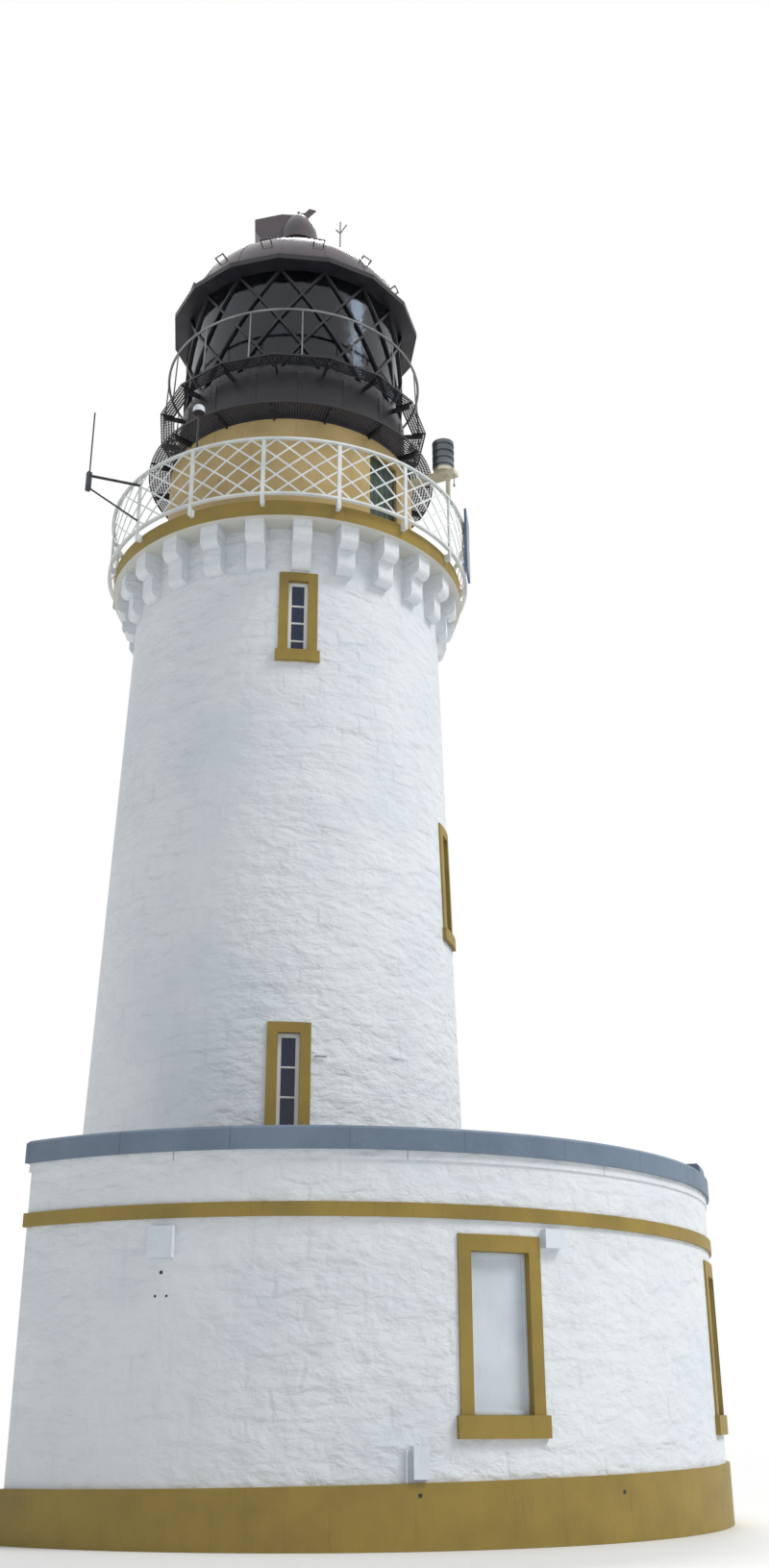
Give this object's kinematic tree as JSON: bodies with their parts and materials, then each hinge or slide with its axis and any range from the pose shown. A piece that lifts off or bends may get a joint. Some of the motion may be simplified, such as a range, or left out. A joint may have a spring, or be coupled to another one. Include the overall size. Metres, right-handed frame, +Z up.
{
  "type": "lighthouse",
  "caption": "Tapering white masonry tower with corbelled gallery, lattice railing and iron lantern, above a half-round annex; the ventilator cowl turns.",
  "frame": {"origin": "on the tower's axis at the level of the lowest ground", "axes": "+Z up the tower, -Y towards the middle of the annex's round front, +X to the right seen from that side"},
  "size_m": [10.8196, 9.5628, 22.788],
  "materials": {
    "beacon_metal": "dull ribbed housing",
    "black_iron": "black gloss paint",
    "box_plastic": "white plastic",
    "buff_trim": "buff painted dressed stone",
    "concrete": "bare concrete and stone flags",
    "coping_stone": "blue-grey painted coping",
    "cream_metal": "cream paint",
    "dome_metal": "dark painted copper",
    "door_paint": "dark green paint",
    "grey_metal": "grey paint",
    "lens_glass": "ribbed lens glass",
    "panel_face": "blue-grey sheet",
    "roof_deck": "weathered roof covering",
    "white_frame": "white painted frame",
    "white_masonry": "white painted rubble masonry",
    "white_panel": "white painted board",
    "white_rail": "white gloss paint",
    "window_glass": "clear"
  },
  "bodies": {
    "building": {"annex_door": "door_paint", "annex_floor": "concrete", "annex_rear_walls": "white_masonry", "annex_roof": "roof_deck", "annex_wall_1": "white_masonry", "annex_wall_2": "white_masonry", "annex_wall_3": "white_masonry", "annex_wall_4": "white_masonry", "annex_window_panels": "white_panel", "annex_window_surrounds": "buff_trim", "astragals": "black_iron", "beacon": "beacon_metal", "beacon_arm": "cream_metal", "coping": "coping_stone", "corbels": "white_masonry", "dome": "dome_metal", "dome_aerial": "grey_metal", "dome_handholds": "dome_metal", "door_surrounds": "buff_trim", "doorsteps": "concrete", "entrance_door": "door_paint", "gallery_bottom_rail": "white_rail", "gallery_door": "door_paint", "gallery_lattice": "white_rail", "gallery_posts": "white_rail", "gallery_slab": "buff_trim", "gallery_top_rail": "white_rail", "lantern_drum": "black_iron", "lantern_eave": "black_iron", "lantern_floor": "black_iron", "lantern_glass": "window_glass", "lantern_wall": "buff_trim", "lower_walkway": "black_iron", "optic": "lens_glass", "optic_pedestal": "grey_metal", "parapet": "white_masonry", "plinth": "buff_trim", "side_aerial": "grey_metal", "side_panel": "panel_face", "signal_lamp": "box_plastic", "string_course": "buff_trim", "tower_floor": "concrete", "tower_wall_1": "white_masonry", "tower_wall_2": "white_masonry", "tower_wall_3": "white_masonry", "tower_wall_4": "white_masonry", "tower_window_frames": "white_frame", "tower_window_glass": "window_glass", "tower_window_surrounds": "buff_trim", "upper_walkway": "black_iron", "ventilator_neck": "dome_metal", "walkway_handrail": "grey_metal", "wall_boxes": "box_plastic"},
    "cowl": {"cowl": "dome_metal"}
  },
  "joints": [
    {"name": "cowl_turn", "type": "hinge", "parent": "building", "child": "cowl", "pos_m": [0, 0, 22.3], "axis": [0, 0, 1], "continuous": true}
  ]
}
